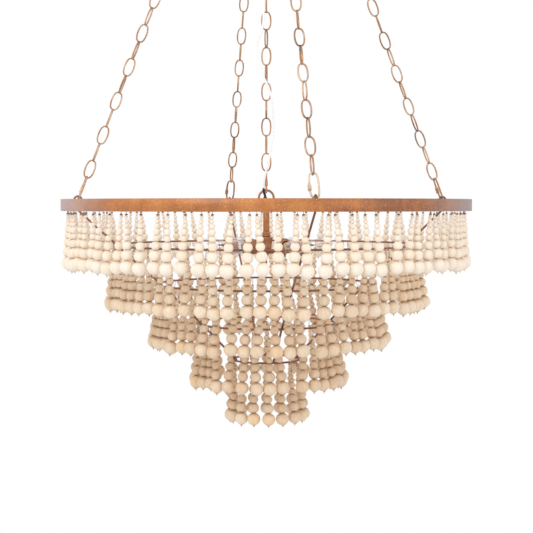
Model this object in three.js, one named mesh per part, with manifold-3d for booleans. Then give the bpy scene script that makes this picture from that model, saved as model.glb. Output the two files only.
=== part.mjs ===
// Beaded chandelier: a flat hoop and four smaller wire rings carry five tiers of wooden bead strands.
// Millimetres, +Z up. The origin is the middle of the ceiling plane that the canopy closes on.
import * as THREE from 'three';
import { mergeVertices } from 'three/addons/utils/BufferGeometryUtils.js';
import Module from 'manifold-3d';

const wasm = await Module();
wasm.setup();

// Clearances
const seatGap = 0.3;
const threadGap = 0.4;
const weldDepth = 0.25;
const cutOverrun = 1;
const mergeReach = 0.001;

// Ceiling mount
const bracketLength = 104;
const bracketWidth = 20;
const bracketThickness = 2.5;
const bracketSlotLength = 16;
const bracketSlotWidth = 5;
const bracketSlotSpacing = 70;
const nippleRadius = 4.8;
const nippleBore = 3.4;
const nippleLength = 17;

const canopyRadius = 66;
const canopyHeight = 26;
const canopyWall = 1.6;
const canopyRimHeight = 7;
const canopyFlatRadius = 36;

const bossRadius = 16;
const bossHeight = 17;
const bossGrip = 5;
const loopRadius = 13;
const loopWireRadius = 2.5;
const loopSink = 1;

const collarOuterRadius = 23;
const collarHeight = 7;
const collarGap = 0.9;

const topRingRadius = 28;
const topRingWireRadius = 3;

// Chains
const hangingHeight = 1040;
const frameTurnDegrees = 13;
const linkPitch = 39;
const linkWidth = 19;
const linkWireRadius = 1.8;
const sideHookDegrees = 24;
const depthHookDegrees = 10.5;
const quickLinkLength = 54;
const quickLinkWidth = 21;
const quickLinkWireRadius = 2;

// Frame
const hoopRadius = 450;
const hoopHeight = 25.4;
const hoopThickness = 3;
const railInset = 15;
const ringRadii = [hoopRadius - railInset, 338, 241, 152, 75];
const ringDrops = [0, 88, 175, 262, 343];
const ringWireRadius = 2.3;
const ribWireRadius = 2.4;
const ribFootRun = 16;
const ribTail = 4;
const eyeInset = 36;
const eyeReach = hoopRadius - eyeInset;
const eyeRise = 10.6;
const eyeRadius = 8.2;
const eyeWireRadius = 2.2;

// Strands
const strandCounts = [88, 70, 52, 34, 16];
const strandLength = 143.5;
const strandLeans = [0, 6, 15, 13, 7];
const largeBead = 28.5;
const mediumBead = 22.5;
const tipLength = 3;
const bindingHeight = 2.6;
const bindingHalfWidth = 1.3;
const loopHalfWidth = 3;
const strandCore = 3.4;
const strandEyeRadius = 4.6;
const strandEyeWireRadius = 0.9;

// Centre stem and lamps
const stemRadius = 6.9;
const stemBore = 5.2;
const stemTopDrop = 3;
const stemLength = 68;
const stemEyeRadius = 16.4;
const stemEyeWireRadius = 2.5;
const stemEyeBaseRadius = 8;
const stemEyeBaseHeight = 6;
const stemCollarRadius = 10;
const hubSocketDepth = 12;
const hubTopRadius = 15;
const hubBottomRadius = 11;
const hubHeight = 27;
const knobRadius = 14;
const knobHeight = 10;
const finialNeckRadius = 3;
const finialNeckLength = 19;
const finialRadius = 5;
const lampCount = 6;
const lampDrop = 89;
const cupInner = 64;
const cupLength = 22;
const cupRadius = 13.4;
const cupWall = 1.6;
const cupFloor = 3;
const armRadius = 4;
const armReach = 78;
const knuckleRadius = 5;
const knuckleDrop = 11;
const bulbRadius = 16;
const bulbLength = 98;
const bulbBaseRadius = 9.4;
const bulbBaseLength = 24;
const bulbShoulderRadius = 13;
const bulbShoulderReach = 38;
const bulbWidestReach = 56;
const bulbTaperRadius = 9;
const bulbTaperReach = 86;

// Cord
const cordRadius = 2.4;
const grommetRadius = 4.2;
const grommetHeight = 15;
const grommetOffset = -2.5;
const cordBoreGap = 0.5;

// Facets
const hoopSides = 60;
const railSides = [56, 44, 36, 28, 20];
const railSectionSides = 4;
const linkSectionSides = 3;
const linkBends = 6;
const quickLinkSectionSides = 4;
const quickLinkBends = 12;
const cordSpanSteps = 2;

const copper = { color: 0xb9793f, roughness: 0.45, metalness: 0.85 };
const paleBrass = { color: 0xd9c79a, roughness: 0.4, metalness: 0.85 };
const paleWood = { color: 0xefe0c4, roughness: 0.7, metalness: 0 };
const tanWood = { color: 0xd9bf97, roughness: 0.7, metalness: 0 };
const clearGlass = { color: 0xe9eef0, roughness: 0.05, metalness: 0 };
const greyCord = { color: 0xc9c9c6, roughness: 0.5, metalness: 0 };
const blackRubber = { color: 0x1b1a19, roughness: 0.7, metalness: 0 };
const zincSteel = { color: 0x9a9c9e, roughness: 0.5, metalness: 0.9 };

const frameTurn = THREE.MathUtils.degToRad(frameTurnDegrees);
const bossTop = bossGrip - nippleLength;
const bossBottom = bossTop - bossHeight;
const loopLevel = bossBottom - loopRadius + loopSink;
const topRingTopLevel = loopLevel - loopRadius + loopWireRadius + topRingWireRadius + seatGap;
const topRingLevel = topRingTopLevel - topRingRadius;
const hoopLevel = topRingLevel - topRingRadius - hangingHeight;
const hoopInner = hoopRadius - hoopThickness;
const stemTop = hoopLevel - stemTopDrop;
const stemBottom = stemTop - stemLength;
const stemEyeLevel = stemTop + seatGap + stemEyeWireRadius + stemEyeRadius;
const hubTop = stemBottom + hubSocketDepth;
const hubBottom = stemBottom - hubHeight;
const knobBottom = hubBottom - seatGap - knobHeight;
const lampLevel = hoopLevel - lampDrop;
const railHalfSide = ringWireRadius * Math.cos(Math.PI / railSectionSides);

const chandelier = new THREE.Group();
const frame = new THREE.Group();
frame.position.set(0, 0, hoopLevel);
frame.rotation.z = frameTurn;
chandelier.add(frame);

function addPiece(name, geometry, finish, parent = chandelier) {
  const piece = new THREE.Mesh(geometry, new THREE.MeshStandardMaterial(finish));
  piece.name = name;
  parent.add(piece);
  return piece;
}

function polar(radius, angle, height) {
  return new THREE.Vector3(radius * Math.cos(angle), radius * Math.sin(angle), height);
}

// Boolean helpers
function toSolid(geometry) {
  const bare = geometry.clone();
  bare.deleteAttribute('normal');
  bare.deleteAttribute('uv');
  const merged = mergeVertices(bare, mergeReach);
  return new wasm.Manifold(new wasm.Mesh({
    numProp: 3,
    vertProperties: new Float32Array(merged.attributes.position.array),
    triVerts: new Uint32Array(merged.index.array),
  }));
}

function fromSolid(solid) {
  const mesh = solid.getMesh();
  const geometry = new THREE.BufferGeometry();
  const points = new Float32Array(mesh.vertProperties);
  geometry.setAttribute('position', new THREE.BufferAttribute(points, 3));
  geometry.setIndex(new THREE.BufferAttribute(new Uint32Array(mesh.triVerts), 1));
  geometry.computeVertexNormals();
  return geometry;
}

function join(first, ...others) {
  return fromSolid(others.map(toSolid).reduce((sum, solid) => sum.add(solid), toSolid(first)));
}

function cut(body, ...tools) {
  return fromSolid(tools.map(toSolid).reduce((rest, tool) => rest.subtract(tool), toSolid(body)));
}

// Shapes
function rod(radius, bottom, top, sides) {
  const geometry = new THREE.CylinderGeometry(radius, radius, top - bottom, sides);
  return geometry.rotateX(Math.PI / 2).translate(0, 0, (top + bottom) / 2);
}

// A profile of [radius, height] pairs, from the bottom up on its outer side, turned round the Z axis.
function turned(profile, sides) {
  const points = profile.map(([radius, height]) => new THREE.Vector2(radius, height));
  return new THREE.LatheGeometry(points, sides).rotateX(Math.PI / 2);
}

function hollowTurned(profile, sides) {
  return turned([...profile, profile[0]], sides);
}

// A route through points, with one straight span between each two.
class BentRoute extends THREE.Curve {
  constructor(points) {
    super();
    this.points = points;
  }

  indexAt(share) {
    return Math.round(share * (this.points.length - 1));
  }

  getPointAt(share) {
    return this.points[this.indexAt(share)].clone();
  }

  getTangentAt(share) {
    const index = this.indexAt(share);
    const before = this.points[Math.max(index - 1, 0)];
    const after = this.points[Math.min(index + 1, this.points.length - 1)];
    return new THREE.Vector3().subVectors(after, before).normalize();
  }
}

function bentTube(points, radius, sides) {
  const outline = new THREE.Shape();
  for (let i = 0; i < sides; i += 1) {
    const angle = (2 * Math.PI * (i + 1 / 2)) / sides;
    const place = [radius * Math.cos(angle), radius * Math.sin(angle)];
    if (i === 0) {
      outline.moveTo(...place);
    } else {
      outline.lineTo(...place);
    }
  }
  const extrudePath = new BentRoute(points);
  return new THREE.ExtrudeGeometry(outline, { steps: points.length - 1, extrudePath });
}

// A link in the XZ plane, long along Z, with a corner of its section facing in, as a worn wire has.
// The inner length runs between the inner corners of its ends.
function ovalLink(innerLength, width, wireRadius, sectionSides, bends) {
  const bendRadius = width / 2 - wireRadius;
  const inward = wireRadius;
  const endShare = Math.cos((bends / 2) % 2 === 0 ? 0 : Math.PI / bends);
  const stretch = innerLength / 2 - (bendRadius - inward) * endShare;
  const geometry = new THREE.TorusGeometry(bendRadius, -wireRadius, sectionSides, bends);
  geometry.rotateX(Math.PI / 2);
  const points = geometry.attributes.position;
  for (let i = 0; i < points.count; i += 1) {
    const height = points.getZ(i);
    if (Math.abs(height) > mergeReach) {
      points.setZ(i, height + Math.sign(height) * stretch);
    }
  }
  return geometry;
}

function uprightRing(radius, wireRadius, sectionSides, bends) {
  return new THREE.TorusGeometry(radius, wireRadius, sectionSides, bends).rotateX(Math.PI / 2);
}

// Stands a shape that is long along Z and flat across Y on a point, a direction and a flat side's normal.
function aimed(geometry, centre, along, across) {
  const side = new THREE.Vector3().crossVectors(across, along);
  const turn = new THREE.Matrix4().makeBasis(side, across, along);
  return geometry.applyMatrix4(turn.setPosition(centre));
}

// Ceiling mount
function buildCeilingMount() {
  const plate = new THREE.BoxGeometry(bracketLength, bracketWidth, bracketThickness);
  plate.translate(0, 0, -bracketThickness / 2);
  const slotDepth = bracketThickness + 2 * cutOverrun;
  const slots = [-1, 1].map((side) => {
    const slot = new THREE.BoxGeometry(bracketSlotLength, bracketSlotWidth, slotDepth);
    return slot.translate((side * bracketSlotSpacing) / 2, 0, -bracketThickness / 2);
  });
  const hole = rod(nippleRadius + threadGap, -bracketThickness - cutOverrun, cutOverrun, 12);
  addPiece('ceiling_bracket', cut(plate, hole, ...slots), zincSteel);

  addPiece('threaded_nipple', hollowTurned([
    [nippleBore, -nippleLength],
    [nippleRadius, -nippleLength],
    [nippleRadius, 0],
    [nippleBore, 0],
  ], 12), zincSteel);

  const boss = rod(bossRadius, bossBottom, bossTop, 16);
  const eye = uprightRing(loopRadius, loopWireRadius, 5, 16);
  eye.rotateZ(Math.PI / 2).translate(0, 0, loopLevel);
  const nippleSocket = rod(nippleRadius + threadGap, bossTop - bossGrip - seatGap, bossTop + cutOverrun, 12);
  const wireHole = rod(nippleBore, loopLevel, bossTop, 10);
  addPiece('hanging_loop', cut(join(boss, eye), nippleSocket, wireHole), copper);
}

function buildCanopy() {
  const holeRadius = bossRadius + 2 * threadGap;
  addPiece('canopy_cup', hollowTurned([
    [holeRadius, -canopyHeight],
    [canopyFlatRadius, -canopyHeight],
    [canopyRadius, -canopyRimHeight],
    [canopyRadius, 0],
    [canopyRadius - canopyWall, 0],
    [canopyRadius - canopyWall, -canopyRimHeight],
    [canopyFlatRadius, -canopyHeight + canopyWall],
    [holeRadius, -canopyHeight + canopyWall],
  ], 24), copper);

  const collarTop = -canopyHeight - seatGap;
  addPiece('collar_nut', hollowTurned([
    [bossRadius + collarGap, collarTop - collarHeight],
    [collarOuterRadius, collarTop - collarHeight],
    [collarOuterRadius, collarTop],
    [bossRadius + collarGap, collarTop],
  ], 20), copper);
}

// Chains
// Links run from one wire to another, each turned a quarter against the last and joined where they touch.
function buildChain(name, top, bottom) {
  const down = new THREE.Vector3().subVectors(bottom.centre, top.centre);
  const run = down.length();
  down.normalize();
  const quickHalf = quickLinkLength / 2 - 2 * quickLinkWireRadius;
  const spare = top.wireRadius + bottom.wireRadius + 3 * seatGap - 2 * quickHalf;
  const count = Math.round((run + spare) / linkPitch);
  const half = (run + spare - (count - 1) * weldDepth) / (2 * count);

  const square = (wire) => wire.clone().addScaledVector(down, -wire.dot(down)).normalize();
  const firstAcross = square(top.wire);
  const quickAcross = square(bottom.wire);
  const turnNeeded = Math.atan2(
    down.dot(new THREE.Vector3().crossVectors(firstAcross, quickAcross)),
    firstAcross.dot(quickAcross),
  );
  const left = turnNeeded - (count * Math.PI) / 2;
  const quarterTurn = Math.PI / 2 + (left - Math.PI * Math.round(left / Math.PI)) / count;

  const place = (distance) => top.centre.clone().addScaledVector(down, distance);
  const firstPlace = half - top.wireRadius - seatGap;
  const links = [];
  for (let i = 0; i < count; i += 1) {
    const across = firstAcross.clone().applyAxisAngle(down, i * quarterTurn);
    const link = ovalLink(2 * half, linkWidth, linkWireRadius, linkSectionSides, linkBends);
    links.push(aimed(link, place(firstPlace + i * (2 * half + weldDepth)), down, across));
  }
  addPiece(`chain_${name}`, join(...links), copper);

  const quickLink = ovalLink(
    2 * quickHalf,
    quickLinkWidth,
    quickLinkWireRadius,
    quickLinkSectionSides,
    quickLinkBends,
  );
  const quickPlace = run + bottom.wireRadius + seatGap - quickHalf;
  const finish = name === 'front' ? paleBrass : copper;
  addPiece(`quick_link_${name}`, aimed(quickLink, place(quickPlace), down, quickAcross), finish);
}

function buildChains() {
  const topRing = uprightRing(topRingRadius, topRingWireRadius, 5, 36).translate(0, 0, topRingLevel);
  addPiece('top_ring', topRing, copper);

  const hook = (degrees) => {
    const angle = THREE.MathUtils.degToRad(degrees);
    const height = topRingLevel - topRingRadius * Math.cos(angle);
    return {
      centre: new THREE.Vector3(topRingRadius * Math.sin(angle), 0, height),
      wire: new THREE.Vector3(Math.cos(angle), 0, Math.sin(angle)),
      wireRadius: topRingWireRadius,
    };
  };
  const eyeHook = (turn) => {
    const lean = Math.atan2(eyeReach, hangingHeight - eyeRise);
    const reach = eyeReach - eyeRadius * Math.sin(lean);
    const height = hoopLevel + eyeRise + eyeRadius * Math.cos(lean);
    return {
      centre: polar(reach, turn, height),
      wire: polar(Math.cos(lean), turn, Math.sin(lean)),
      wireRadius: eyeWireRadius,
    };
  };
  const sides = [
    ['right', sideHookDegrees],
    ['back', -depthHookDegrees],
    ['left', -sideHookDegrees],
    ['front', depthHookDegrees],
  ];
  sides.forEach(([name, hookDegrees], i) => {
    buildChain(name, hook(hookDegrees), eyeHook(frameTurn + (i * Math.PI) / 2));
  });
  buildChain('centre', hook(0), {
    centre: new THREE.Vector3(0, 0, stemEyeLevel + stemEyeRadius),
    wire: new THREE.Vector3(1, 0, 0),
    wireRadius: stemEyeWireRadius,
  });
}

// Frame
function buildHoopAndRings() {
  addPiece('hoop_band', hollowTurned([
    [hoopInner, -hoopHeight / 2],
    [hoopRadius, -hoopHeight / 2],
    [hoopRadius, hoopHeight / 2],
    [hoopInner, hoopHeight / 2],
  ], hoopSides), copper, frame);
  ringRadii.forEach((radius, tier) => {
    const level = -ringDrops[tier];
    addPiece(tier === 0 ? 'rail_ring' : `ring_${tier + 1}`, hollowTurned([
      [radius - railHalfSide, level - railHalfSide],
      [radius + railHalfSide, level - railHalfSide],
      [radius + railHalfSide, level + railHalfSide],
      [radius - railHalfSide, level + railHalfSide],
    ], railSides[tier]), copper, frame);
  });
}

function ribRoute() {
  const footLevel = ribWireRadius + railHalfSide + seatGap;
  const offset = (ribWireRadius + ringWireRadius + seatGap) / Math.sqrt(2);
  const places = [
    [hoopInner - seatGap, footLevel],
    [hoopInner - ribFootRun, footLevel],
    ...ringRadii.slice(1).map((radius, i) => [radius - offset, offset - ringDrops[i + 1]]),
  ];
  const [lastReach, lastHeight] = places[places.length - 1];
  places.push([lastReach - ribTail, lastHeight - ribTail]);
  return places;
}

function buildRibs() {
  const names = ['right', 'back', 'left', 'front'];
  const places = ribRoute();
  const [, bend, ringPlace] = places;
  const slope = (bend[1] - ringPlace[1]) / (bend[0] - ringPlace[0]);
  const shankFoot = ringPlace[1] + slope * (eyeReach - ringPlace[0]);
  names.forEach((name, i) => {
    const route = places.map(([reach, height]) => new THREE.Vector3(reach, 0, height));
    const rib = bentTube(route, ribWireRadius, 6);
    const eye = uprightRing(eyeRadius, eyeWireRadius, 4, 10).translate(eyeReach, 0, eyeRise);
    const shank = rod(eyeWireRadius, shankFoot, eyeRise - eyeRadius, 5).translate(eyeReach, 0, 0);
    addPiece(`rib_${name}`, join(rib, eye, shank).rotateZ((i * Math.PI) / 2), copper, frame);
  });
}

// Strands
// Depths are below the ring's middle, down to the tip of the lowest bead.
const largeBottom = strandLength - tipLength;
const largeTop = largeBottom - largeBead;
const largeMiddle = largeTop + largeBead / 2;
const mediumMiddle = largeTop - mediumBead / 2;

// A wire bound under the ring carries the tier's strands. Each strand is a square column that widens
// to its lowest bead, and its top is one piece of the wire's underside.
function boundStrands(radius, drop, lean, count) {
  const wireTop = -drop - railHalfSide - seatGap;
  const wireBottom = wireTop - bindingHeight;
  const halfTurn = Math.asin(loopHalfWidth / radius);
  const points = [];
  const faces = [];
  const addPoint = (point) => points.push(point) - 1;
  const addSide = (a, b, c, d) => faces.push([a, b, c], [a, c, d]);
  const wireSection = (angle) => [
    addPoint(polar(radius, angle, wireTop)),
    addPoint(polar(radius - bindingHalfWidth, angle, wireBottom)),
    addPoint(polar(radius + bindingHalfWidth, angle, wireBottom)),
  ];
  const leanAt = (depth) => (lean * depth) / largeMiddle;
  const beadSection = (angle, depth, half) => {
    const centre = radius + leanAt(depth);
    const corners = [[-1, -1], [1, -1], [1, 1], [-1, 1]];
    return corners.map(([out, along]) => {
      const corner = polar(centre + out * half, angle, -drop - depth);
      return addPoint(corner.add(polar(along * half, angle + Math.PI / 2, 0)));
    });
  };
  const squareShare = 0.82;
  const shoulderShare = 0.7;
  const sections = [];
  for (let i = 0; i < count; i += 1) {
    const middle = (2 * Math.PI * (i + 1 / 2)) / count;
    sections.push({ middle, near: wireSection(middle - halfTurn), far: wireSection(middle + halfTurn) });
  }
  sections.forEach(({ middle, near, far }, i) => {
    const next = sections[(i + 1) % count].near;
    [[near, far], [far, next]].forEach(([from, to]) => {
      addSide(from[0], from[2], to[2], to[0]);
      addSide(from[1], from[0], to[0], to[1]);
    });
    addSide(far[1], next[1], next[2], far[2]);
    const rings = [
      [near[1], near[2], far[2], far[1]],
      beadSection(middle, largeTop, (mediumBead / 2) * squareShare * shoulderShare),
      beadSection(middle, largeMiddle, (largeBead / 2) * squareShare),
    ];
    for (let ring = 1; ring < rings.length; ring += 1) {
      for (let side = 0; side < 4; side += 1) {
        const after = (side + 1) % 4;
        addSide(rings[ring][side], rings[ring][after], rings[ring - 1][after], rings[ring - 1][side]);
      }
    }
    const tip = addPoint(polar(radius + leanAt(strandLength), middle, -drop - strandLength));
    const last = rings[rings.length - 1];
    last.forEach((corner, side) => faces.push([tip, last[(side + 1) % 4], corner]));
  });
  const geometry = new THREE.BufferGeometry().setFromPoints(points);
  geometry.setIndex(faces.flat());
  geometry.computeVertexNormals();
  return geometry;
}

// A strand of its own hangs from a wire eye round the ring.
function singleStrand(radius, drop, lean) {
  const inner = (strandEyeRadius - strandEyeWireRadius) * Math.cos(Math.PI / 8) - seatGap;
  const eyeDrop = Math.sqrt(inner ** 2 - railHalfSide ** 2) - railHalfSide;
  const eye = uprightRing(strandEyeRadius, strandEyeWireRadius, 3, 8).translate(0, 0, -eyeDrop);
  const columnTop = -eyeDrop - strandEyeRadius;
  const column = turned([
    [0, -strandLength],
    [largeBead / 2, -largeMiddle],
    [strandCore, -largeTop],
    [mediumBead / 2, -mediumMiddle],
    [strandEyeWireRadius, columnTop],
    [0, columnTop],
  ], 4);
  const tilt = Math.atan2(lean, largeMiddle);
  return join(eye, column).rotateY(-tilt).translate(radius, 0, -drop);
}

function buildStrands() {
  strandCounts.forEach((count, tier) => {
    const radius = ringRadii[tier];
    const drop = ringDrops[tier];
    const lean = strandLeans[tier];
    const finish = tier === 0 ? paleWood : tanWood;
    if (tier < strandCounts.length - 1) {
      addPiece(`strands_tier_${tier + 1}`, boundStrands(radius, drop, lean, count), finish, frame);
      return;
    }
    for (let i = 0; i < count; i += 1) {
      const strand = singleStrand(radius, drop, lean).rotateZ((2 * Math.PI * (i + 1 / 2)) / count);
      addPiece(`strand_tier_5_${i + 1}`, strand, finish, frame);
    }
  });
}

// Centre stem
function buildStem() {
  addPiece('stem_tube', hollowTurned([
    [stemBore, stemBottom],
    [stemRadius, stemBottom],
    [stemRadius, stemTop],
    [stemBore, stemTop],
  ], 12), copper);

  const eye = uprightRing(stemEyeRadius, stemEyeWireRadius, 5, 20).translate(0, 0, stemEyeLevel);
  const baseBottom = stemTop + seatGap;
  const baseTop = baseBottom + stemEyeBaseHeight;
  const base = rod(stemEyeBaseRadius, baseBottom, baseTop, 12);
  const wireHole = rod(cordRadius + cordBoreGap, baseBottom - cutOverrun, stemEyeLevel, 8);
  wireHole.translate(grommetOffset, 0, 0);
  addPiece('stem_eye', cut(join(eye, base), wireHole), copper);

  const grommetBottom = baseTop + seatGap;
  addPiece('cord_grommet', hollowTurned([
    [cordRadius + cordBoreGap, grommetBottom],
    [grommetRadius, grommetBottom],
    [grommetRadius, grommetBottom + grommetHeight],
    [cordRadius + cordBoreGap, grommetBottom + grommetHeight],
  ], 10).translate(grommetOffset, 0, 0), blackRubber);

  addPiece('hub_body', hollowTurned([
    [finialNeckRadius + threadGap, hubBottom],
    [hubBottomRadius, hubBottom],
    [hubTopRadius, stemBottom],
    [stemCollarRadius, stemBottom],
    [stemCollarRadius, hubTop],
    [stemRadius + threadGap, hubTop],
    [stemRadius + threadGap, stemBottom - seatGap],
    [finialNeckRadius + threadGap, stemBottom - seatGap],
  ], 16), copper);

  addPiece('finial', turned([
    [0, knobBottom - finialNeckLength - 2 * finialRadius],
    [finialRadius, knobBottom - finialNeckLength - finialRadius],
    [finialNeckRadius, knobBottom - finialNeckLength],
    [finialNeckRadius, stemBottom - 2 * seatGap],
    [0, stemBottom - 2 * seatGap],
  ], 10), copper);
}

// Lamps
function cupGeometry() {
  return turned([
    [0, 0],
    [cupRadius, 0],
    [cupRadius, cupLength],
    [cupRadius - cupWall, cupLength],
    [cupRadius - cupWall, cupFloor],
    [0, cupFloor],
  ], 8);
}

function bulbGeometry() {
  return turned([
    [0, 0],
    [bulbBaseRadius, 0],
    [bulbBaseRadius, bulbBaseLength],
    [bulbShoulderRadius, bulbShoulderReach],
    [bulbRadius, bulbWidestReach],
    [bulbTaperRadius, bulbTaperReach],
    [0, bulbLength],
  ], 8);
}

// Lays a piece that stands on Z out along X, then swings it round to its lamp.
function laidOut(geometry, reach, height, turn) {
  return geometry.rotateY(Math.PI / 2).translate(reach, 0, height).rotateZ(turn);
}

function buildLamps() {
  const armLevel = knobBottom + knobHeight / 2;
  let arms = rod(knobRadius, knobBottom, knobBottom + knobHeight, 16);
  const bulbStart = cupInner + cupFloor + seatGap;
  for (let i = 0; i < lampCount; i += 1) {
    const turn = (2 * Math.PI * i) / lampCount;
    const arm = laidOut(rod(armRadius, knobRadius / 2, armReach, 6), 0, armLevel, turn);
    const knuckle = turned([
      [0, armLevel - knuckleDrop],
      [knuckleRadius, armLevel - armRadius],
      [knuckleRadius, lampLevel - cupRadius + cupWall],
      [0, lampLevel - cupRadius + cupWall],
    ], 6).translate(armReach, 0, 0).rotateZ(turn);
    const cup = laidOut(cupGeometry(), cupInner, lampLevel, turn);
    arms = join(arms, arm, cup, knuckle);
    addPiece(`bulb_${i + 1}`, laidOut(bulbGeometry(), bulbStart, lampLevel, turn), clearGlass);
  }
  const bore = rod(finialNeckRadius + threadGap, knobBottom - cutOverrun, hubBottom, 8);
  addPiece('lamp_arms', cut(arms, bore), copper);
}

// Cord
function buildCord() {
  const ringBottom = topRingLevel - topRingRadius;
  const baseTop = stemTop + seatGap + stemEyeBaseHeight;
  const points = [
    [0, 0, 0],
    [0, 0, bossBottom - 3],
    [-3, -4, bossBottom - 11],
    [-9, -10, bossBottom - 22],
    [-12, -13, ringBottom + 30],
    [-13, -16, ringBottom - 20],
    [-13, -13, ringBottom - 90],
    [-14, -11, ringBottom - 300],
    [-12, -13, ringBottom - 520],
    [-7, -14, ringBottom - 645],
    [-22, -6, ringBottom - 696],
    [-11, -13, ringBottom - 747],
    [1, -15, ringBottom - 775],
    [11, -13, ringBottom - 802],
    [16, -9, ringBottom - 866],
    [10, -12.5, ringBottom - 918],
    [3, -14, ringBottom - 952],
    [-3, -13, ringBottom - 978],
    [-6, -9, baseTop + 34],
    [-5.4, -6.5, baseTop + 25],
    [-3.4, -2, baseTop + 20],
    [grommetOffset, 0, baseTop + 16],
    [grommetOffset, 0, baseTop + 13],
    [grommetOffset, 0, baseTop],
    [grommetOffset, 0, stemTop - 6],
    [-1, 0, stemTop - 20],
    [0, 0, stemBottom + 4],
  ].map((place) => new THREE.Vector3(...place));
  const route = new THREE.CatmullRomCurve3(points, false, 'centripetal');
  const places = route.getPoints(cordSpanSteps * (points.length - 1));
  addPiece('power_cord', bentTube(places, cordRadius, 8), greyCord);
}

buildCeilingMount();
buildCanopy();
buildChains();
buildHoopAndRings();
buildRibs();
buildStrands();
buildStem();
buildLamps();
buildCord();

export default chandelier;
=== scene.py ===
# Beaded chandelier: turned wooden beads on wire strands, round a flat copper-brown hoop hung from chains.
import random
from math import atan, atan2, copysign, cos, pi, radians, sin, sqrt, tau

import bpy
import numpy as np
from mathutils import Matrix, Vector


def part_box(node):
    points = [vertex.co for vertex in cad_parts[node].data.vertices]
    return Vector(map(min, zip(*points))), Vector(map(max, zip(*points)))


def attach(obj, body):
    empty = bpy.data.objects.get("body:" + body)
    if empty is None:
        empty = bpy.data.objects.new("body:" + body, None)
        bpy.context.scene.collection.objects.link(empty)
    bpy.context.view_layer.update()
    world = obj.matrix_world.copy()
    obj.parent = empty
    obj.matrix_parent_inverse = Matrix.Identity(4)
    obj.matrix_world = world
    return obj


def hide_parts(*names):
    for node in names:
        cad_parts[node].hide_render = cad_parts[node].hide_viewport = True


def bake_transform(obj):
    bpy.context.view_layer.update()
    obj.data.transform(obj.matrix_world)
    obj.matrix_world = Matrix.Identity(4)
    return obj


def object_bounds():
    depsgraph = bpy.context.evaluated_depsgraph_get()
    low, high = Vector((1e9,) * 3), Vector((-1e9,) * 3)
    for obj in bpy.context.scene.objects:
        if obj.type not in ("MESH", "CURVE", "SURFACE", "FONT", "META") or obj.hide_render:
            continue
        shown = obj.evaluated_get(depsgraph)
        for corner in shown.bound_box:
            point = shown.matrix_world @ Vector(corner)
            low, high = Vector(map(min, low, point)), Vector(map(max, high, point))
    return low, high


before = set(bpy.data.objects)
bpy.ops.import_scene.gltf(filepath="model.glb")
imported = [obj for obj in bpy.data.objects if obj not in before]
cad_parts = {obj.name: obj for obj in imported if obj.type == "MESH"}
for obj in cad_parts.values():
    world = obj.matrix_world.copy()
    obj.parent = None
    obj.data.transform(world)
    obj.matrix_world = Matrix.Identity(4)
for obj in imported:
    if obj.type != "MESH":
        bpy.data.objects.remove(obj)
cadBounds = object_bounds()
print("frame loaded:", len(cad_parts), "nodes")

mm = 0.001
up = Vector((0, 0, 1))
ahead = Vector((0, 1, 0))
move = Matrix.Translation
frameTurn = radians(13)  # the chains and ribs stand this far round from the lamps


def spin(angle, axis="Z"):
    return Matrix.Rotation(angle, 4, axis)


def addObject(name, data):
    thing = bpy.data.objects.new(name, data)
    bpy.context.scene.collection.objects.link(thing)
    return thing


def nodeBox(node):
    return [Vector(corner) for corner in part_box(node)]


def ringBox(node):
    # the wire's middle radius, its level and half its height
    low, high = nodeBox(node)
    half = (high.z - low.z) / 2
    return (high.x - low.x) / 2 - half, (high.z + low.z) / 2, half


def polar(radius, angle, height=0.0):
    return Vector((radius * cos(angle), radius * sin(angle), height))


def arc(radius, start, sweep, steps):
    # flat points from one angle round to another
    angles = [start + sweep * i / steps for i in range(steps + 1)]
    return [(radius * cos(angle), radius * sin(angle)) for angle in angles]


hoopLow, hoopHigh = nodeBox("hoop_band")
hoopLevel = (hoopLow.z + hoopHigh.z) / 2
hoopRadius = (hoopHigh.x - hoopLow.x) / 2

# Camera, matched to the photograph

cameraView = {
    "distance": 2.75,
    "focalPixels": 1239.0,
    "imagePixels": 533.0,
    "axisPixel": 266.3,
    "horizonPixel": 205.0,
    "sensorWidth": 36.0,
    "farClip": 100.0,
}


def placeCamera(look):
    data = bpy.data.cameras.new("photoCamera")
    data.sensor_fit = "HORIZONTAL"
    data.sensor_width = look["sensorWidth"]
    data.lens = data.sensor_width * look["focalPixels"] / look["imagePixels"]
    data.clip_end = look["farClip"]
    camera = addObject("photoCamera", data)
    middle = look["imagePixels"] / 2
    tilt = atan((middle - look["horizonPixel"]) / look["focalPixels"])
    turn = atan((middle - look["axisPixel"]) / look["focalPixels"])
    camera.location = (0, -look["distance"], hoopLevel)
    camera.rotation_euler = (pi / 2 - tilt, 0, -turn)
    bpy.context.scene.camera = camera


placeCamera(cameraView)
print("camera placed")


# Shader helpers

def linear(red, green, blue):
    # a colour as seen on a screen, 0 to 255, in the renderer's own scale
    shares = [part / 255 for part in (red, green, blue)]
    return (*(part / 12.92 if part <= 0.04045 else ((part + 0.055) / 1.055) ** 2.4 for part in shares), 1.0)


def dim(colour, share):
    return (*(part * share for part in linear(*colour)[:3]), 1.0)


def plug(tree, socket, value):
    # takes another node's output, a number, or a colour of three parts
    if isinstance(value, Shade):
        tree.links.new(value.socket, socket)
    elif socket.type == "RGBA" and len(value) == 3:
        socket.default_value = linear(*value)
    else:
        socket.default_value = value


def addNode(tree, kind, inputs=None, out=0, **settings):
    # the settings go in first, then the value or link of each socket
    node = tree.nodes.new(kind)
    for label, value in settings.items():
        setattr(node, label, value)
    for label, value in (inputs or {}).items():
        plug(tree, node.inputs[label], value)
    return Shade(tree, node.outputs[out]) if node.outputs else None


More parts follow.
